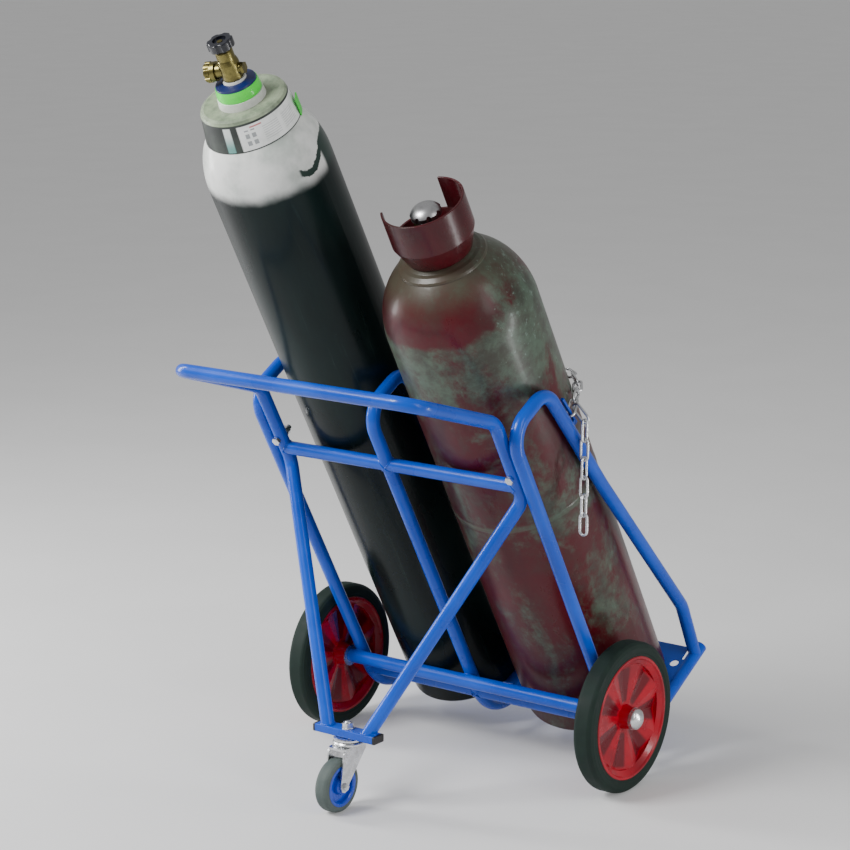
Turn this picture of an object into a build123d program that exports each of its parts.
from build123d import *
from math import acos, atan2, cos, degrees, hypot, radians, sin
import os

os.makedirs("parts", exist_ok=True)

# Oxy-acetylene cylinder cart, standing leaned back on two wheels and a castor.
# Everything that leans is drawn upright about the axle, with z along the cylinders,
# and then tipped back by LEAN. Wheels, castor and the hanging chain are drawn as they stand.
LEAN = 29.7  # degrees that the cylinders lean back
WHEEL_R, WHEEL_W, WHEEL_X = 143.0, 42.0, 334.5
AXLE_Y = 105.7  # the axle stands this far in front of the middle of the footprint
RIM_R = 117.0
TUBE_OD, TUBE_WALL = 25.4, 2.0
BEAM_OD, BEAM_WALL = 26.9, 2.9
AXLE_D = 16.0
HOOP_X, CENTRE_X = 290.0, -24.0  # outer hoops at +-HOOP_X, the divider at CENTRE_X
LEG_Y = 21.0  # rear legs stand this far in front of the axle
BASE_Z, TOP_Z = -141.0, 664.0
CROSSBAR_Z, REST_Z = 539.0, -46.4
BOLT_Z = 566.0
UPRIGHT_X = HOOP_X - TUBE_OD - 0.2
GRIP_Y, GRIP_Z = -150.0, 865.0
PLATE_Z, PLATE_T = -129.3, 3.0  # top and thickness of the footplate
OXY_X, OXY_Y, OXY_R = -158.5, 151.5, 115.0
ACE_X, ACE_Y, ACE_R = 135.4, 175.9, 141.0
CYL_BASE = -128.8
CASTOR_X, CASTOR_Y, CASTOR_TRAIL = CENTRE_X, AXLE_Y - 371.0, 35.0
CASTOR_R, CASTOR_W = 50.0, 28.0
BAR_TOP, BAR_L, BAR_D, BAR_H = 149.0, 132.0, 30.0, 15.0
CHAIN_D, CHAIN_PITCH, CHAIN_WIDTH = 5.0, 34.6, 20.0
FAN_FOLDS = 7

TUBE_R = TUBE_OD / 2
CART = Plane(
    origin=(0, AXLE_Y, WHEEL_R),
    x_dir=(1, 0, 0),
    z_dir=(0, -sin(radians(LEAN)), cos(radians(LEAN))),
)
SPOKE_ANGLE = 175.5  # one fold of the wheel's fan, from forward towards up


def floor_point(x, y, z):
    """A point of the standing cart, in the upright drawing."""
    return CART.to_local_coords(Vector(x, y, z))


def tube(points, radii, outer, inner=0.0):
    """A bent round tube along a route, with a bend radius at each corner."""
    with BuildPart() as piece:
        with BuildLine() as route:
            if len(points) > 2:
                FilletPolyline(*points, radius=radii)
            else:
                Line(*points)
        start = route.line @ 0
        with BuildSketch(Plane(origin=start, z_dir=route.line % 0)):
            Circle(outer)
            if inner:
                Circle(inner, mode=Mode.SUBTRACT)
        sweep(path=route.line)
    return piece.part


def turned(x, y, points, plane=None):
    """A solid of revolution about the upright line through x, y, from radius-height points."""
    with BuildPart() as piece:
        with BuildSketch(Plane.XZ.offset(-y)):
            with BuildLine():
                Polyline(*[(x + r, z) for r, z in points], close=True)
            make_face()
        revolve(axis=Axis((x, y, 0), (0, 0, 1)))
    return piece.part


# ---------------------------------------------------------------- hoops
FRONT_Y = 327.0
HOOP_YZ = [(FRONT_Y - 2, BASE_Z), (LEG_Y, BASE_Z), (LEG_Y, TOP_Z), (144.3, TOP_Z),
           (204.0, 394.0), (312.0, -16.0), (305.984, -110.0)]
HOOP_BENDS = [100.0, 50.0, 45.0, 600.0, 60.0]


HOOP_ROUTE = [(0, y, z) for y, z in HOOP_YZ]
HOOP_FULL = tube(HOOP_ROUTE, HOOP_BENDS, TUBE_R)

# One bent tube: base, rear leg, top bend and front leg, welded down onto its own base.
with BuildPart() as hoop_foot:
    add(tube([(0, 305.984, -110.0), (0, 304.0, BASE_Z)], None, TUBE_R - 0.4, TUBE_R - TUBE_WALL))
    with BuildSketch(Plane.XZ.offset(-270)):
        with Locations((0, BASE_Z)):
            Circle(TUBE_R - 0.8)
    extrude(amount=-80, mode=Mode.SUBTRACT)
FOOT_PIECE = hoop_foot.part.solids().sort_by(Axis.Z)[-1]
with BuildPart() as hoop:
    add(tube(HOOP_ROUTE, HOOP_BENDS, TUBE_R, TUBE_R - TUBE_WALL))
    with BuildSketch(Plane.XZ.offset(-(FRONT_Y - 2))):
        with Locations((0, BASE_Z)):
            Circle(TUBE_R)
    extrude(amount=-2)
    add(FOOT_PIECE)

hoops = {}
for hoop_name, hoop_x in (("hoop_left", -HOOP_X), ("hoop_centre", CENTRE_X), ("hoop_right", HOOP_X)):
    with BuildPart() as hoops[hoop_name]:
        add(hoop.part)
    hoops[hoop_name].part.locate(CART.location * Location((hoop_x, 0, 0)))
    hoops[hoop_name].part.label = hoop_name
    export_step(hoops[hoop_name].part, "parts/" + hoop_name + ".step")

# ---------------------------------------------------------------- tubes across the cart
# The axle tube runs behind the three rear legs and is saddled onto them.
with BuildPart() as axle_beam:
    with BuildSketch(Plane.YZ.offset(-306)):
        Circle(BEAM_OD / 2)
        Circle(BEAM_OD / 2 - BEAM_WALL, mode=Mode.SUBTRACT)
    extrude(amount=612)
    with Locations((-HOOP_X, LEG_Y, 0), (CENTRE_X, LEG_Y, 0), (HOOP_X, LEG_Y, 0)):
        Cylinder(TUBE_R, 80, mode=Mode.SUBTRACT)
axle_beam.part.locate(CART.location)
axle_beam.part.label = "axle_beam"
export_step(axle_beam.part, "parts/axle_beam.step")

# A lower tube in line with the rear legs keeps the feet of the cylinders off the axle.
with BuildPart() as rest_tube:
    with BuildSketch(Plane(origin=(-HOOP_X, LEG_Y, REST_Z), z_dir=(1, 0, 0))):
        Circle(TUBE_R)
        Circle(TUBE_R - TUBE_WALL, mode=Mode.SUBTRACT)
    extrude(amount=2 * HOOP_X)
    for x in (-HOOP_X, CENTRE_X, HOOP_X):
        add(HOOP_FULL.moved(Location((x, 0, 0))), mode=Mode.SUBTRACT)
    with BuildSketch(Plane.YZ.offset(-HOOP_X - 20)) as ends:
        with Locations((LEG_Y, REST_Z)):
            Rectangle(80, 80)
    extrude(ends.sketch, amount=20 + 6, mode=Mode.SUBTRACT)
    extrude(ends.sketch.moved(Location((2 * HOOP_X + 14, 0, 0))), amount=26, mode=Mode.SUBTRACT)
    with Locations((CENTRE_X, LEG_Y, REST_Z)):
        Box(TUBE_OD - 8, 40, 40, mode=Mode.SUBTRACT)
rest_tube.part.locate(CART.location)
rest_tube.part.label = "rest_tube"
export_step(rest_tube.part, "parts/rest_tube.step")

# The upper crossbar is cut in two by the centre hoop.
with BuildPart() as crossbar:
    with BuildSketch(Plane(origin=(-UPRIGHT_X, LEG_Y, CROSSBAR_Z), z_dir=(1, 0, 0))):
        Circle(TUBE_R)
        Circle(TUBE_R - TUBE_WALL, mode=Mode.SUBTRACT)
    extrude(amount=2 * UPRIGHT_X)
    with Locations((-UPRIGHT_X, LEG_Y, CROSSBAR_Z), (CENTRE_X, LEG_Y, CROSSBAR_Z),
                   (UPRIGHT_X, LEG_Y, CROSSBAR_Z)):
        Cylinder(TUBE_R, 80, mode=Mode.SUBTRACT)
crossbar.part.locate(CART.location)
crossbar.part.label = "crossbar"
export_step(crossbar.part, "parts/crossbar.step")

# ---------------------------------------------------------------- push handle and support legs
ARM = [(UPRIGHT_X, LEG_Y, CROSSBAR_Z), (UPRIGHT_X, LEG_Y, 685), (UPRIGHT_X, GRIP_Y, GRIP_Z)]
HANDLE_ROUTE = [(-x, y, z) for x, y, z in ARM] + ARM[::-1]
with BuildPart() as handle:
    add(tube(HANDLE_ROUTE, [45, 40, 40, 45], TUBE_R, TUBE_R - TUBE_WALL))
    with BuildSketch(Plane.XZ.offset(-LEG_Y - 30)):
        with Locations((-UPRIGHT_X, BOLT_Z), (UPRIGHT_X, BOLT_Z)):
            Circle(5.0)
    extrude(amount=60, mode=Mode.SUBTRACT)
handle.part.locate(CART.location)
handle.part.label = "handle"
export_step(handle.part, "parts/handle.step")

LEG_SPREAD = 47.4
support_legs = {}
for leg_name, side in (("support_leg_left", -1), ("support_leg_right", 1)):
    foot = floor_point(CASTOR_X + side * LEG_SPREAD, CASTOR_Y, BAR_TOP)
    knee = Vector(side * UPRIGHT_X, LEG_Y, 507)
    beyond = foot + (foot - knee).normalized() * 18
    top = (side * UPRIGHT_X, LEG_Y, CROSSBAR_Z)
    route_points = [top, tuple(knee), tuple(beyond)]
    with BuildPart() as leg:
        add(tube(route_points, [34], TUBE_R, TUBE_R - TUBE_WALL))
    leg.part.locate(CART.location)
    with BuildPart() as support_legs[leg_name]:
        add(leg.part)
        split(bisect_by=Plane.XY.offset(BAR_TOP), keep=Keep.TOP)
    support_legs[leg_name].part.label = leg_name
    export_step(support_legs[leg_name].part, "parts/" + leg_name + ".step")

# Bolts through the uprights hold the handle, heads behind and nuts in front.
with BuildPart() as frame_bolts:
    with BuildSketch(Plane.XZ.offset(-(LEG_Y - TUBE_R - 7))):
        with Locations((-UPRIGHT_X, BOLT_Z), (UPRIGHT_X, BOLT_Z)):
            RegularPolygon(8.9, 6)
    extrude(amount=-6.5)
    chamfer(frame_bolts.edges().group_by(Axis.Y)[0], 1.0)
    with BuildSketch(Plane.XZ.offset(-(LEG_Y - TUBE_R - 2))) as shank:
        with Locations((-UPRIGHT_X, BOLT_Z), (UPRIGHT_X, BOLT_Z)):
            Circle(4.9)
    extrude(shank.sketch, amount=-43)
frame_bolts.part.locate(CART.location)
frame_bolts.part.label = "frame_bolts"
export_step(frame_bolts.part, "parts/frame_bolts.step")

with BuildPart() as frame_nuts:
    with BuildSketch(Plane.XZ.offset(-(LEG_Y + TUBE_R + 0.4))):
        with Locations((-UPRIGHT_X, BOLT_Z), (UPRIGHT_X, BOLT_Z)):
            RegularPolygon(8.9, 6)
            Circle(5.0, mode=Mode.SUBTRACT)
    extrude(amount=-8)
frame_nuts.part.locate(CART.location)
frame_nuts.part.label = "frame_nuts"
export_step(frame_nuts.part, "parts/frame_nuts.step")

# ---------------------------------------------------------------- footplate
PLATE_BACK, PLATE_FRONT = 124.0, 309.0
with BuildPart() as footplate:
    with BuildSketch(Plane.XY.offset(PLATE_Z - PLATE_T)):
        with Locations((0, (PLATE_BACK + PLATE_FRONT) / 2)):
            Rectangle(2 * HOOP_X, PLATE_FRONT - PLATE_BACK)
        with Locations((268, 262), (-268, 262), (CENTRE_X - 25, 262), (CENTRE_X + 25, 262)):
            Circle(9.0, mode=Mode.SUBTRACT)
    extrude(amount=PLATE_T)
    with BuildSketch(Plane.XZ.offset(-60)):
        with Locations((-HOOP_X, BASE_Z), (CENTRE_X, BASE_Z), (HOOP_X, BASE_Z)):
            Circle(TUBE_R)
    extrude(amount=-262, mode=Mode.SUBTRACT)
    for x in (-HOOP_X, CENTRE_X, HOOP_X):
        with Locations((x, 305, PLATE_Z)):
            Box(TUBE_OD + 1, 60, 20, mode=Mode.SUBTRACT)
    with Locations((-HOOP_X - 10, 200, PLATE_Z), (HOOP_X + 10, 200, PLATE_Z)):
        Box(20, 260, 20, mode=Mode.SUBTRACT)
footplate.part.locate(CART.location)
footplate.part.label = "footplate"
export_step(footplate.part, "parts/footplate.step")

# ---------------------------------------------------------------- axle
with BuildPart() as axle:
    with BuildSketch(Plane.YZ.offset(-362)):
        Circle(AXLE_D / 2)
    extrude(amount=724)
    chamfer(axle.edges(), 1.0)
axle.part.locate(CART.location)
axle.part.label = "axle"
export_step(axle.part, "parts/axle.step")

with BuildPart() as axle_bushes:
    for x in (-268, 246):
        with BuildSketch(Plane.YZ.offset(x)):
            Circle(BEAM_OD / 2 - BEAM_WALL)
            Circle(AXLE_D / 2, mode=Mode.SUBTRACT)
        extrude(amount=22)
axle_bushes.part.locate(CART.location)
axle_bushes.part.label = "axle_bushes"
export_step(axle_bushes.part, "parts/axle_bushes.step")

HUB_IN, HUB_OUT = 309.2, 357.4
with BuildPart() as hub_washers:
    for x in (-HUB_IN + 0.4, 306.2, HUB_OUT + 0.4, -HUB_OUT - 2.6):
        with BuildSketch(Plane.YZ.offset(x)):
            Circle(21.0)
            Circle(AXLE_D / 2, mode=Mode.SUBTRACT)
        extrude(amount=2.2)
hub_washers.part.locate(CART.location)
hub_washers.part.label = "hub_washers"
export_step(hub_washers.part, "parts/hub_washers.step")

# Domed push-on caps over the ends of the axle.
with BuildPart() as axle_caps:
    for side in (-1, 1):
        with BuildSketch(Plane.XY):
            with BuildLine():
                Polyline((side * 363.5, 20.5), (side * 360.2, 20.5), (side * 360.2, 8.0),
                         (side * 362.2, 8.0), (side * 362.2, 0), (side * 375.5, 0), (side * 375.5, 3.0))
                Spline((side * 375.5, 3.0), (side * 371.6, 13.6), (side * 363.5, 20.5),
                       tangents=((0, 1), (-side, 0.1)))
            make_face()
        revolve(axis=Axis.X)
axle_caps.part.locate(CART.location)
axle_caps.part.label = "axle_caps"
export_step(axle_caps.part, "parts/axle_caps.step")


# ---------------------------------------------------------------- main wheels
def wheel_point(x, r, angle):
    return (x, AXLE_Y + r * cos(radians(angle)), WHEEL_R + r * sin(radians(angle)))


def fan_fold(x, face, angle):
    """One pleat of the wheel's fan: a ridge that grows from the hub to the rim."""
    half = 180 / FAN_FOLDS
    with BuildPart() as fold:
        for r, height in ((21.0, 2.0), (101.0, 11.0)):
            section = Plane(
                origin=wheel_point(x, r, angle),
                x_dir=(face, 0, 0),
                z_dir=(0, cos(radians(angle)), sin(radians(angle))),
            )
            spread = r * sin(radians(half)) / cos(radians(half)) * 0.998
            with BuildSketch(section):
                with BuildLine():
                    Polyline((-2, -spread), (0, -spread), (height, 0), (0, spread), (-2, spread), close=True)
                make_face()
        loft()
        with Locations(Location((x, AXLE_Y, WHEEL_R), (0, 90, 0))):
            Cylinder(105, 60, mode=Mode.INTERSECT)
    return fold.part


def turned_wheel(x, points):
    """A ring about the wheel's own axle, from width-radius points measured outward from its middle."""
    with BuildPart() as ring:
        with BuildSketch(Plane(origin=(x, AXLE_Y, WHEEL_R), x_dir=(1, 0, 0), z_dir=(0, 1, 0))):
            with BuildLine():
                Polyline(*points, close=True)
            make_face()
        revolve(axis=Axis((x, AXLE_Y, WHEEL_R), (1, 0, 0)))
    return ring.part


H = WHEEL_W / 2
for wheel_name, side in (("left", -1), ("right", 1)):
    middle = side * WHEEL_X
    with BuildPart() as tyre:
        add(turned_wheel(middle, [
            (-H + 1.5, 117), (-H + 1.5, 121), (-H, 124), (-H, 133), (-H + 2.2, 138.5), (-H + 6.5, 142),
            (-H + 10, WHEEL_R), (H - 10, WHEEL_R), (H - 6.5, 142), (H - 2.2, 138.5), (H, 133), (H, 124),
            (H - 1.5, 121), (H - 1.5, 117), (H - 8, 117), (H - 8, 109), (-H + 8, 109), (-H + 8, 117)]))
    tyre.part.label = "wheel_" + wheel_name + "_tyre"
    export_step(tyre.part, "parts/wheel_" + wheel_name + "_tyre.step")

    with BuildPart() as wheel:
        # rim with its two lips, seated inside the tyre
        add(turned_wheel(middle, [
            (-H + 1.0, 116.8), (-H + 7.8, 116.8), (-H + 7.8, 108.8), (H - 7.8, 108.8), (H - 7.8, 116.8),
            (H - 1.0, 116.8), (H, 115.6), (H, 112.0), (H - 3.0, 109.5), (H - 9.0, 100.5),
            (-H + 9.0, 100.5), (-H + 3.0, 109.5), (-H, 112.0), (-H, 115.6)]))
        add(turned_wheel(middle, [(-4, 15), (4, 15), (4, 101.5), (-4, 101.5)]))
        for fold in range(FAN_FOLDS):
            angle = SPOKE_ANGLE + fold * 360 / FAN_FOLDS
            add(fan_fold(middle + 3.5, 1, angle))
            add(fan_fold(middle - 3.5, -1, angle))
        out, inn = side * (HUB_OUT - WHEEL_X), side * (HUB_IN - WHEEL_X)
        add(turned_wheel(middle, [(inn, AXLE_D / 2 + 0.1), (inn, 19.0), (inn * 0.2, 24.0), (out * 0.2, 24.0),
                                  (out, 19.0), (out, AXLE_D / 2 + 0.1)]))
        with BuildSketch(Plane.YZ.offset(middle - 40)):
            with Locations((AXLE_Y, WHEEL_R)):
                Circle(AXLE_D / 2 + 0.1)
        extrude(amount=80, mode=Mode.SUBTRACT)
    wheel.part.label = "wheel_" + wheel_name + "_centre"
    export_step(wheel.part, "parts/wheel_" + wheel_name + "_centre.step")

# ---------------------------------------------------------------- castor
with BuildPart() as castor_bar:
    with BuildSketch(Plane(origin=(CASTOR_X - BAR_L / 2, CASTOR_Y, BAR_TOP - BAR_H / 2),
                           x_dir=(0, 1, 0), z_dir=(1, 0, 0))) as bar_section:
        RectangleRounded(BAR_D, BAR_H, 2.5)
        RectangleRounded(BAR_D - 3, BAR_H - 3, 1.2, mode=Mode.SUBTRACT)
    extrude(amount=BAR_L)
    with Locations((CASTOR_X, CASTOR_Y, BAR_TOP)):
        Cylinder(6.0, 60, mode=Mode.SUBTRACT)
castor_bar.part.label = "castor_bar"
export_step(castor_bar.part, "parts/castor_bar.step")

with BuildPart() as castor_bar_caps:
    for side in (-1, 1):
        end = Plane(origin=(CASTOR_X + side * BAR_L / 2, CASTOR_Y, BAR_TOP - BAR_H / 2),
                    x_dir=(0, 1, 0), z_dir=(side, 0, 0))
        with BuildSketch(end) as head:
            RectangleRounded(BAR_D, BAR_H, 2.5)
        extrude(head.sketch, amount=5)
        with BuildSketch(end) as plug:
            RectangleRounded(BAR_D - 3, BAR_H - 3, 1.2)
        extrude(plug.sketch, amount=-9)
    fillet(castor_bar_caps.faces().sort_by(Axis.X)[0].edges(), 1.2)
    fillet(castor_bar_caps.faces().sort_by(Axis.X)[-1].edges(), 1.2)
castor_bar_caps.part.label = "castor_bar_caps"
export_step(castor_bar_caps.part, "parts/castor_bar_caps.step")

# Fixed upper race, the king bolt through the bar and its nut.
RACE_TOP = BAR_TOP - BAR_H
with BuildPart() as castor_race:
    add(turned(CASTOR_X, CASTOR_Y, [(6.0, RACE_TOP), (24, RACE_TOP), (27, RACE_TOP - 1.5),
                                    (27, RACE_TOP - 5), (25, RACE_TOP - 6.4), (6.0, RACE_TOP - 6.4)]))
castor_race.part.label = "castor_race"
export_step(castor_race.part, "parts/castor_race.step")

with BuildPart() as king_bolt:
    add(turned(CASTOR_X, CASTOR_Y, [(0, 109.4), (9.5, 109.4), (10.5, 110.4), (10.5, 115.6), (6.0, 115.6),
                                    (6.0, BAR_TOP + 13), (5.0, BAR_TOP + 14), (0, BAR_TOP + 14)]))
king_bolt.part.label = "king_bolt"
export_step(king_bolt.part, "parts/king_bolt.step")

with BuildPart() as king_nut:
    with BuildSketch(Plane.XY.offset(BAR_TOP)):
        with Locations((CASTOR_X, CASTOR_Y)):
            Circle(12)
            Circle(6.0, mode=Mode.SUBTRACT)
    extrude(amount=2)
    with BuildSketch(Plane.XY.offset(BAR_TOP + 2)):
        with Locations((CASTOR_X, CASTOR_Y)):
            RegularPolygon(10.9, 6)
            Circle(6.0, mode=Mode.SUBTRACT)
    extrude(amount=9.5)
king_nut.part.label = "king_nut"
export_step(king_nut.part, "parts/king_nut.step")

CASTOR_AXLE_Y = CASTOR_Y - CASTOR_TRAIL
CROWN_Z, CROWN_T = 116.0, 4.0
with BuildPart() as castor_fork:
    add(turned(CASTOR_X, CASTOR_Y, [(6.1, CROWN_Z + CROWN_T - 0.01), (26, CROWN_Z + CROWN_T - 0.01),
                                    (29, CROWN_Z + CROWN_T + 2), (29, CROWN_Z + CROWN_T + 5),
                                    (27, CROWN_Z + CROWN_T + 7.2), (6.1, CROWN_Z + CROWN_T + 7.2)]))
    with BuildSketch(Plane.XY.offset(CROWN_Z)):
        with Locations((CASTOR_X, CASTOR_Y - 1)):
            RectangleRounded(39, 72, 7)
        with Locations((CASTOR_X, CASTOR_Y)):
            Circle(6.1, mode=Mode.SUBTRACT)
    extrude(amount=CROWN_T)
    for x in (CASTOR_X - 19.5, CASTOR_X + 16.5):
        with BuildSketch(Plane.YZ.offset(x)):
            with BuildLine():
                Polyline((CASTOR_Y - 30, CROWN_Z + 2), (CASTOR_Y + 28, CROWN_Z + 2),
                         (CASTOR_Y + 28, CROWN_Z - 6), (CASTOR_AXLE_Y + 12.5, CASTOR_R + 2),
                         (CASTOR_AXLE_Y + 8, CASTOR_R - 8.5), (CASTOR_AXLE_Y, CASTOR_R - 11.5),
                         (CASTOR_AXLE_Y - 8, CASTOR_R - 8.5), (CASTOR_AXLE_Y - 12, CASTOR_R + 2),
                         (CASTOR_Y - 37, CROWN_Z - 8), (CASTOR_Y - 37, CROWN_Z - 4), close=True)
            make_face()
            with Locations((CASTOR_AXLE_Y, CASTOR_R)):
                Circle(4.0, mode=Mode.SUBTRACT)
        extrude(amount=3)
castor_fork.part.label = "castor_fork"
export_step(castor_fork.part, "parts/castor_fork.step")

with BuildPart() as castor_axle:
    with BuildSketch(Plane.YZ.offset(CASTOR_X - 24.5)) as pin_section:
        with Locations((CASTOR_AXLE_Y, CASTOR_R)):
            Circle(4.0)
    extrude(pin_section.sketch, amount=50)
    for x in (CASTOR_X - 24.0, CASTOR_X + 19.5):
        with BuildSketch(Plane.YZ.offset(x)) as heads:
            with Locations((CASTOR_AXLE_Y, CASTOR_R)):
                RegularPolygon(7.2, 6)
        extrude(heads.sketch, amount=4.5)
castor_axle.part.label = "castor_axle"
export_step(castor_axle.part, "parts/castor_axle.step")


def castor_ring(points):
    with BuildPart() as ring:
        with BuildSketch(Plane(origin=(CASTOR_X, CASTOR_AXLE_Y, CASTOR_R), x_dir=(1, 0, 0), z_dir=(0, 1, 0))):
            with BuildLine():
                Polyline(*points, close=True)
            make_face()
        revolve(axis=Axis((CASTOR_X, CASTOR_AXLE_Y, CASTOR_R), (1, 0, 0)))
    return ring.part


C = CASTOR_W / 2
with BuildPart() as castor_tyre:
    add(castor_ring([(-C + 0.5, 38.5), (-C, 41), (-C, 45), (-C + 2, 48), (-C + 6, 49.7), (-C + 9, CASTOR_R),
                     (C - 9, CASTOR_R), (C - 6, 49.7), (C - 2, 48), (C, 45), (C, 41), (C - 0.5, 38.5)]))
castor_tyre.part.label = "castor_tyre"
export_step(castor_tyre.part, "parts/castor_tyre.step")

with BuildPart() as castor_centre:
    add(castor_ring([(-C, 38.4), (C, 38.4), (C, 33), (C - 2, 31), (C - 8, 30), (C - 8, 17), (C - 1.5, 15.5),
                     (C + 1.5, 13.5), (C + 1.5, 4.1), (-C - 1.5, 4.1), (-C - 1.5, 13.5), (-C + 1.5, 15.5),
                     (-C + 8, 17), (-C + 8, 30), (-C + 2, 31), (-C, 33)]))
castor_centre.part.label = "castor_wheel"
export_step(castor_centre.part, "parts/castor_wheel.step")

# ---------------------------------------------------------------- oxygen cylinder
COLLAR_LOW, COLLAR_TOP, COLLAR_R = 1187.0, 1246.0, 86.5
with BuildPart() as oxygen_cylinder:
    with BuildSketch(Plane.XZ.offset(-OXY_Y)):
        with BuildLine():
            Polyline((OXY_X, CYL_BASE + 10), (OXY_X + 70, CYL_BASE + 8), (OXY_X + 96, CYL_BASE),
                     (OXY_X + OXY_R - 5, CYL_BASE), (OXY_X + OXY_R, CYL_BASE + 6), (OXY_X + OXY_R, 1092))
            Spline((OXY_X + OXY_R, 1092), (OXY_X + 108, 1146), (OXY_X + 87, 1187), (OXY_X + 52, 1214),
                   (OXY_X + 34, 1223), tangents=((0, 1), (-1, 0.35)))
            Polyline((OXY_X + 34, 1223), (OXY_X + 34, 1262), (OXY_X, 1262), (OXY_X, CYL_BASE + 10))
        make_face()
    revolve(axis=Axis((OXY_X, OXY_Y, 0), (0, 0, 1)))
oxygen_shell = oxygen_cylinder.part.moved(Location())
oxygen_cylinder.part.locate(CART.location)
oxygen_cylinder.part.label = "oxygen_cylinder"
export_step(oxygen_cylinder.part, "parts/oxygen_cylinder.step")

# Cup-shaped collar that carries the contents label.
with BuildPart() as oxygen_collar:
    add(turned(OXY_X, OXY_Y, [(34.2, 1226), (74, 1226), (83, 1190), (83, 1160), (COLLAR_R + 1.0, 1160),
                              (COLLAR_R + 1.0, COLLAR_LOW), (79.5, COLLAR_TOP - 8), (77, COLLAR_TOP - 3),
                              (71, COLLAR_TOP - 1), (56, COLLAR_TOP - 2), (46, COLLAR_TOP - 3),
                              (34.2, COLLAR_TOP - 3)]))
    add(oxygen_shell, mode=Mode.SUBTRACT)
    split(bisect_by=Plane.XY.offset(COLLAR_LOW), keep=Keep.TOP)
oxygen_collar.part.locate(CART.location)
oxygen_collar.part.label = "oxygen_collar"
export_step(oxygen_collar.part, "parts/oxygen_collar.step")

RING_Z = COLLAR_TOP - 3
with BuildPart() as ring_white:
    add(turned(OXY_X, OXY_Y, [(34.2, RING_Z), (43.5, RING_Z), (42, RING_Z + 14), (34.2, RING_Z + 14)]))
ring_white.part.locate(CART.location)
ring_white.part.label = "neck_ring_white"
export_step(ring_white.part, "parts/neck_ring_white.step")

with BuildPart() as ring_green:
    add(turned(OXY_X, OXY_Y, [(34.2, RING_Z + 14), (39.5, RING_Z + 14), (40.7, RING_Z + 17), (40, RING_Z + 26),
                              (38.4, RING_Z + 34), (34.2, RING_Z + 34)]))
    with Locations((OXY_X, OXY_Y, 1250)):
        Cylinder(34.2, 24.1, mode=Mode.SUBTRACT)
ring_green.part.locate(CART.location)
ring_green.part.label = "neck_ring_green"
export_step(ring_green.part, "parts/neck_ring_green.step")

with BuildPart() as ring_blue:
    add(turned(OXY_X, OXY_Y, [(20.2, 1277.2), (37.4, 1277.2), (36.4, 1281), (24, 1283.5), (20.2, 1283.5)]))
ring_blue.part.locate(CART.location)
ring_blue.part.label = "neck_ring_blue"
export_step(ring_blue.part, "parts/neck_ring_blue.step")

with BuildPart() as washer_white:
    add(turned(OXY_X, OXY_Y, [(17.2, 1283.7), (21.5, 1283.7), (20.6, 1287.9), (17.2, 1287.9)]))
washer_white.part.locate(CART.location)
washer_white.part.label = "neck_washer_white"
export_step(washer_white.part, "parts/neck_washer_white.step")

# Brass valve: round seat, block with a side outlet and a relief boss, spindle gland on top.
OUTLET_ANGLE = 198.0
OUTLET_Z = 1304.0
VALVE_OUT = Plane(origin=(OXY_X, OXY_Y, OUTLET_Z), x_dir=(0, 0, 1),
                  z_dir=(cos(radians(OUTLET_ANGLE)), sin(radians(OUTLET_ANGLE)), 0))
with BuildPart() as oxygen_valve:
    add(turned(OXY_X, OXY_Y, [(0, 1262.2), (17, 1262.2), (17, 1288), (19, 1290), (19, 1318), (17, 1325),
                              (16, 1327), (16, 1342), (13, 1346), (5, 1346), (5, 1361.5), (0, 1361.5)]))
    with BuildSketch(VALVE_OUT) as branch:
        Circle(13.5)
    extrude(branch.sketch, amount=26)
    with BuildSketch(VALVE_OUT) as boss:
        Circle(10.5)
    extrude(boss.sketch, amount=-21)
    with BuildSketch(VALVE_OUT.offset(-21)) as boss_hex:
        RegularPolygon(11, 6)
    extrude(boss_hex.sketch, amount=-6)
oxygen_valve.part.locate(CART.location)
oxygen_valve.part.label = "oxygen_valve"
export_step(oxygen_valve.part, "parts/oxygen_valve.step")

# Notched brass plug that closes the outlet.
with BuildPart() as outlet_plug:
    with BuildSketch(VALVE_OUT.offset(26.2)):
        Circle(17.5)
    extrude(amount=9)
    with BuildSketch(VALVE_OUT.offset(35.2)):
        Circle(18.5)
        with PolarLocations(19.5, 8):
            Circle(3.4, mode=Mode.SUBTRACT)
    extrude(amount=10)
    chamfer(outlet_plug.faces().sort_by(Axis(VALVE_OUT.origin, VALVE_OUT.z_dir))[-1].edges(), 0.8)
outlet_plug.part.locate(CART.location)
outlet_plug.part.label = "outlet_plug"
export_step(outlet_plug.part, "parts/outlet_plug.step")

with BuildPart() as oxygen_handwheel:
    with BuildSketch(Plane.XY.offset(1348.2)):
        with Locations((OXY_X, OXY_Y)):
            Circle(23.5)
            with PolarLocations(29.5, 6):
                Circle(9.0, mode=Mode.SUBTRACT)
    extrude(amount=16)
    fillet(oxygen_handwheel.faces().sort_by(Axis.Z)[-1].edges(), 2.5)
    fillet(oxygen_handwheel.faces().sort_by(Axis.Z)[0].edges(), 1.5)
    with BuildSketch(Plane.XY.offset(1364.2)):
        with Locations((OXY_X, OXY_Y)):
            Circle(12.5)
    extrude(amount=-4, mode=Mode.SUBTRACT)
    with BuildSketch(Plane.XY.offset(1348.2)):
        with Locations((OXY_X, OXY_Y)):
            Circle(5.2)
    extrude(amount=16, mode=Mode.SUBTRACT)
oxygen_handwheel.part.locate(CART.location)
oxygen_handwheel.part.label = "oxygen_handwheel"
export_step(oxygen_handwheel.part, "parts/oxygen_handwheel.step")

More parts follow.
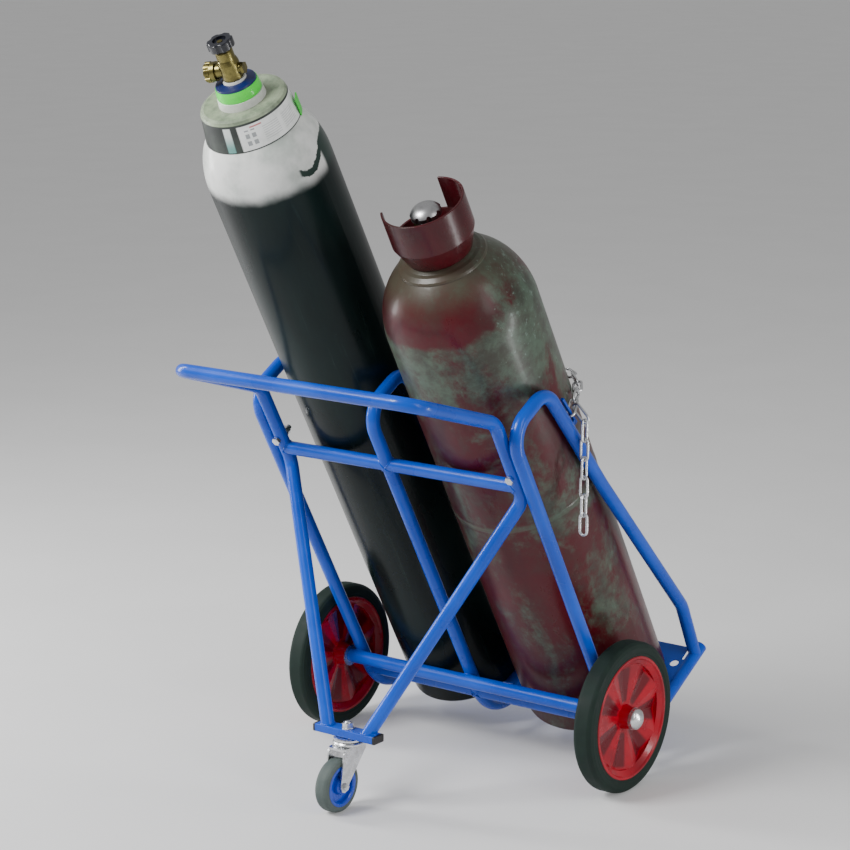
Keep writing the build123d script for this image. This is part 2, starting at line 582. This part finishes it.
# Small plastic tag that stands up behind the collar.
TAG_ANGLE = 34.0
with BuildPart() as collar_tag:
    face_plane = Plane(origin=(OXY_X + 88.2 * cos(radians(TAG_ANGLE)), OXY_Y + 88.2 * sin(radians(TAG_ANGLE)),
                               1204), x_dir=(-sin(radians(TAG_ANGLE)), cos(radians(TAG_ANGLE)), 0),
                       z_dir=(cos(radians(TAG_ANGLE)), sin(radians(TAG_ANGLE)), 0))
    with BuildSketch(face_plane):
        RectangleRounded(26, 36, 4)
    extrude(amount=1.6)
collar_tag.part.locate(CART.location)
collar_tag.part.label = "collar_tag"
export_step(collar_tag.part, "parts/collar_tag.step")

# ---------------------------------------------------------------- acetylene cylinder
DOME_LOW, DOME_RISE, SEAM_Z = 790.0, 150.0, 396.0
with BuildPart() as acetylene_cylinder:
    with BuildSketch(Plane.XZ.offset(-ACE_Y)):
        with BuildLine():
            Polyline((ACE_X, CYL_BASE + 14), (ACE_X + 90, CYL_BASE + 12), (ACE_X + 122, CYL_BASE),
                     (ACE_X + ACE_R - 5, CYL_BASE), (ACE_X + ACE_R, CYL_BASE + 7),
                     (ACE_X + ACE_R, SEAM_Z - 6), (ACE_X + ACE_R + 0.5, SEAM_Z - 3),
                     (ACE_X + ACE_R + 0.5, SEAM_Z + 3), (ACE_X + ACE_R, SEAM_Z + 6),
                     (ACE_X + ACE_R, DOME_LOW))
            top_r, top_z = ACE_R * cos(radians(76)), DOME_LOW + DOME_RISE * sin(radians(76))
            Spline(*[(ACE_X + ACE_R * cos(radians(a)), DOME_LOW + DOME_RISE * sin(radians(a)))
                     for a in (0, 19, 38, 57, 76)], tangents=((0, 1), (-ACE_R, DOME_RISE * 0.249)))
            Polyline((ACE_X + top_r, top_z), (ACE_X + 30, top_z + 2), (ACE_X + 30, 956), (ACE_X, 956),
                     (ACE_X, CYL_BASE + 14))
        make_face()
    revolve(axis=Axis((ACE_X, ACE_Y, 0), (0, 0, 1)))
acetylene_shell = acetylene_cylinder.part.moved(Location())
acetylene_cylinder.part.locate(CART.location)
acetylene_cylinder.part.label = "acetylene_cylinder"
export_step(acetylene_cylinder.part, "parts/acetylene_cylinder.step")

with BuildPart() as shoulder_ring:
    add(turned(ACE_X, ACE_Y, [(56, 900), (82, 900), (82, 914), (80, 917), (72, 922), (56, 926)]))
    add(acetylene_shell, mode=Mode.SUBTRACT)
shoulder_ring.part.locate(CART.location)
shoulder_ring.part.label = "shoulder_ring"
export_step(shoulder_ring.part, "parts/shoulder_ring.step")

# Valve guard: a cone opening into a cylindrical shroud with a wide window at the back left.
GUARD_TOP, GUARD_R, GUARD_T = 1034.0, 75.5, 4.0
with BuildPart() as valve_guard:
    add(turned(ACE_X, ACE_Y, [(30.3, 937.5), (48, 934), (57, 927), (60, 929), (GUARD_R, 968),
                              (GUARD_R, GUARD_TOP), (GUARD_R - GUARD_T, GUARD_TOP),
                              (GUARD_R - GUARD_T, 970), (57, 936), (48, 940), (30.3, 943)]))
    add(acetylene_shell, mode=Mode.SUBTRACT)
    with BuildSketch(Plane.XY.offset(969)):
        with BuildLine():
            Line((ACE_X, ACE_Y), (ACE_X + 120 * cos(radians(100)), ACE_Y + 120 * sin(radians(100))))
            ThreePointArc((ACE_X + 120 * cos(radians(100)), ACE_Y + 120 * sin(radians(100))),
                          (ACE_X + 120 * cos(radians(156)), ACE_Y + 120 * sin(radians(156))),
                          (ACE_X + 120 * cos(radians(212)), ACE_Y + 120 * sin(radians(212))))
            Line((ACE_X + 120 * cos(radians(212)), ACE_Y + 120 * sin(radians(212))), (ACE_X, ACE_Y))
        make_face()
    extrude(amount=80, mode=Mode.SUBTRACT)
    fillet(valve_guard.faces().sort_by(Axis.Z)[-1].edges(), 1.2)
valve_guard.part.locate(CART.location)
valve_guard.part.label = "valve_guard"
export_step(valve_guard.part, "parts/valve_guard.step")

# Valve body with its threaded side outlet, facing the guard's window.
ACE_OUT_ANGLE = 156.0
ACE_OUT = Plane(origin=(ACE_X, ACE_Y, 979), x_dir=(0, 0, 1),
                z_dir=(cos(radians(ACE_OUT_ANGLE)), sin(radians(ACE_OUT_ANGLE)), 0))
with BuildPart() as acetylene_valve:
    add(turned(ACE_X, ACE_Y, [(0, 956.2), (18, 956.2), (18, 993), (14, 997), (10, 999), (10, 1002), (0, 1002)]))
    with BuildSketch(ACE_OUT) as outlet:
        Circle(16)
    extrude(outlet.sketch, amount=32)
    with BuildSketch(ACE_OUT.offset(32)) as bore:
        Circle(10.2)
    extrude(bore.sketch, amount=-15, mode=Mode.SUBTRACT)
acetylene_valve.part.locate(CART.location)
acetylene_valve.part.label = "acetylene_valve"
export_step(acetylene_valve.part, "parts/acetylene_valve.step")

with BuildPart() as acetylene_knob:
    with BuildSketch(Plane.XZ.offset(-ACE_Y)):
        with BuildLine():
            Polyline((ACE_X + 6, 1027), (ACE_X, 1027), (ACE_X, 1003.5), (ACE_X + 25, 1003.5),
                     (ACE_X + 28.5, 1006), (ACE_X + 28.5, 1014))
            ThreePointArc((ACE_X + 28.5, 1014), (ACE_X + 20, 1023.0), (ACE_X + 6, 1027))
        make_face()
    revolve(axis=Axis((ACE_X, ACE_Y, 0), (0, 0, 1)))
    with BuildSketch(Plane.XY.offset(1003)):
        with Locations((ACE_X, ACE_Y)):
            with PolarLocations(31.5, 8):
                Circle(5.5)
    extrude(amount=30, mode=Mode.SUBTRACT)
acetylene_knob.part.locate(CART.location)
acetylene_knob.part.label = "acetylene_knob"
export_step(acetylene_knob.part, "parts/acetylene_knob.step")

# ---------------------------------------------------------------- chain
def leg_y(z):
    """Middle of the upper run of a hoop's front leg, at a height."""
    return 144.3 + (204.0 - 144.3) * (664.0 - z) / (664.0 - 394.0)


LEG_UP = Vector(0, 144.3 - 204.0, 664.0 - 394.0).normalized()
LEG_FRONT = Vector(0, LEG_UP.Z, -LEG_UP.Y)
RIGHT = Vector(1, 0, 0)
DOWN = Vector(0, -sin(radians(LEAN)), -cos(radians(LEAN)))  # straight down to the floor
HOOK_Z, HOOK_LOW, HOOK_HIGH, HOOK_OUT = 570.0, 545.0, 612.0, 22.6

# Flat hook on the front leg of the right hoop, open at the top; one link is dropped over it.
with BuildPart() as chain_hook:
    low = Vector(HOOP_X, leg_y(HOOK_LOW), HOOK_LOW)
    with BuildSketch(Plane(origin=low + LEG_FRONT * HOOK_OUT, x_dir=RIGHT, z_dir=LEG_UP)) as strip:
        RectangleRounded(6.0, 5.0, 1.0)
    extrude(strip.sketch, amount=HOOK_HIGH - HOOK_LOW)
    with BuildSketch(Plane(origin=low, x_dir=RIGHT, z_dir=LEG_UP)) as web:
        with Locations((0, HOOK_OUT / 2)):
            Rectangle(6.0, HOOK_OUT)
    extrude(web.sketch, amount=10)
    add(HOOP_FULL.moved(Location((HOOP_X, 0, 0))), mode=Mode.SUBTRACT)
chain_hook.part.locate(CART.location)
chain_hook.part.label = "chain_hook"
export_step(chain_hook.part, "parts/chain_hook.step")

# Welded eye on the outside of the left hoop's front leg.
EYE_Z, EYE_ANGLE, EYE_OUT = 450.0, 152.0, 29.0
EYE_DIR = Vector(cos(radians(EYE_ANGLE)), sin(radians(EYE_ANGLE)), 0)
eye_root = Vector(-HOOP_X, leg_y(EYE_Z), EYE_Z)
eye_dir = (EYE_DIR - LEG_UP * EYE_DIR.dot(LEG_UP)).normalized()
eye_tip = eye_root + eye_dir * EYE_OUT
with BuildPart() as chain_eye:
    add(tube([tuple(eye_root + LEG_UP * 11), tuple(eye_tip + LEG_UP * 11), tuple(eye_tip - LEG_UP * 11),
              tuple(eye_root - LEG_UP * 11)], [8, 8], 3.0))
    add(HOOP_FULL.moved(Location((-HOOP_X, 0, 0))), mode=Mode.SUBTRACT)
chain_eye.part.locate(CART.location)
chain_eye.part.label = "chain_eye"
export_step(chain_eye.part, "parts/chain_eye.step")

LINK_R = (CHAIN_WIDTH - CHAIN_D) / 2
LINK_HALF = 12.5  # half of a link's straight sides
with BuildPart() as one_link:
    with BuildLine() as loop:
        Line((-LINK_HALF, LINK_R, 0), (LINK_HALF, LINK_R, 0))
        ThreePointArc((LINK_HALF, LINK_R, 0), (LINK_HALF + LINK_R, 0, 0), (LINK_HALF, -LINK_R, 0))
        Line((LINK_HALF, -LINK_R, 0), (-LINK_HALF, -LINK_R, 0))
        ThreePointArc((-LINK_HALF, -LINK_R, 0), (-LINK_HALF - LINK_R, 0, 0), (-LINK_HALF, LINK_R, 0))
    with BuildSketch(Plane(origin=(0, LINK_R, 0), z_dir=(1, 0, 0))):
        Circle(CHAIN_D / 2)
    sweep(path=loop.line)


def link(middle, along, across):
    """A welded link, 35 mm inside, lying in the plane of along and across."""
    return one_link.part.moved(Plane(origin=middle, x_dir=along, z_dir=along.cross(across)).location)


def arc_points(x, y, r, start, end, steps):
    return [(x + r * cos(radians(start + (end - start) * i / steps)),
             y + r * sin(radians(start + (end - start) * i / steps))) for i in range(steps + 1)]


# The chain starts at the hook, rounds both cylinders in front and ends in the eye.
CHAIN_OFF = 12.2  # middle of the chain from the cylinders' walls
hook_at = Vector(HOOP_X, leg_y(HOOK_Z), HOOK_Z) + LEG_FRONT * HOOK_OUT
PULL = Vector(0.22, -0.9525, -0.2106).normalized()
chain_start = hook_at + PULL * 3.9
first_joint = hook_at - PULL * 30.7
ace_run, oxy_run = ACE_R + CHAIN_OFF, OXY_R + CHAIN_OFF
between = Vector(OXY_X - ACE_X, OXY_Y - ACE_Y)
leave = degrees(atan2(between.Y, between.X)) % 360 - degrees(acos((ace_run - oxy_run) / between.length))
meet = degrees(atan2(first_joint.Y - ACE_Y, first_joint.X - ACE_X))
to_eye = Vector(eye_tip.X - OXY_X, eye_tip.Y - OXY_Y)
part_at = degrees(atan2(to_eye.Y, to_eye.X)) - degrees(acos(oxy_run / to_eye.length))
flat_route = arc_points(ACE_X, ACE_Y, ace_run, meet, leave, 30)
flat_route += arc_points(OXY_X, OXY_Y, oxy_run, leave, part_at, 12)
last = Vector(*flat_route[-1])
last_pull = (Vector(eye_tip.X, eye_tip.Y) - last).normalized()
end = Vector(eye_tip.X, eye_tip.Y) + last_pull * 3.2
flat_route.append((end.X, end.Y))
spans = [0.0]
for a, b in zip(flat_route, flat_route[1:]):
    spans.append(spans[-1] + hypot(b[0] - a[0], b[1] - a[1]))
route = [Vector(x, y, first_joint.Z + (eye_tip.Z - first_joint.Z) * run / spans[-1])
         for (x, y), run in zip(flat_route, spans)]
joints = [chain_start, first_joint]
WRAP_LINKS = 20
total = sum((b - a).length for a, b in zip(route, route[1:]))
pitch = total / WRAP_LINKS
for number in range(1, WRAP_LINKS + 1):
    left = number * pitch
    for a, b in zip(route, route[1:]):
        if left <= (b - a).length + 1e-6:
            joints.append(a + (b - a) * (left / (b - a).length))
            break
        left -= (b - a).length
with BuildPart() as chain_wrap:
    for number, (a, b) in enumerate(zip(joints, joints[1:])):
        along = (b - a).normalized()
        level = along.cross(Vector(0, 0, 1)).normalized()
        add(link((a + b) * 0.5, along, level if number % 2 == 0 else along.cross(level)))
    # one more link lies over the side of the hooked one, and the loose end hangs from it
    hooked = (chain_start + first_joint) * 0.5
    over = hooked + PULL.cross(Vector(0, 0, -1)).normalized() * LINK_R
    LAY = (RIGHT * 0.72 + DOWN * 0.694).normalized()
    add(link(over + LAY * 13.7, LAY, RIGHT * 0.694 - DOWN * 0.72))
chain_wrap.part.locate(CART.location)
chain_wrap.part.label = "chain_wrap"
export_step(chain_wrap.part, "parts/chain_wrap.step")

TAIL_LINKS = 6
hang = over + LAY * 26.2 + DOWN * 2.1
with BuildPart() as chain_tail:
    for number in range(TAIL_LINKS):
        turn = RIGHT.cross(DOWN) if number % 2 == 0 else RIGHT
        add(link(hang + DOWN * (20 + number * CHAIN_PITCH), DOWN, turn))
chain_tail.part.locate(CART.location)
chain_tail.part.label = "chain_tail"
export_step(chain_tail.part, "parts/chain_tail.step")
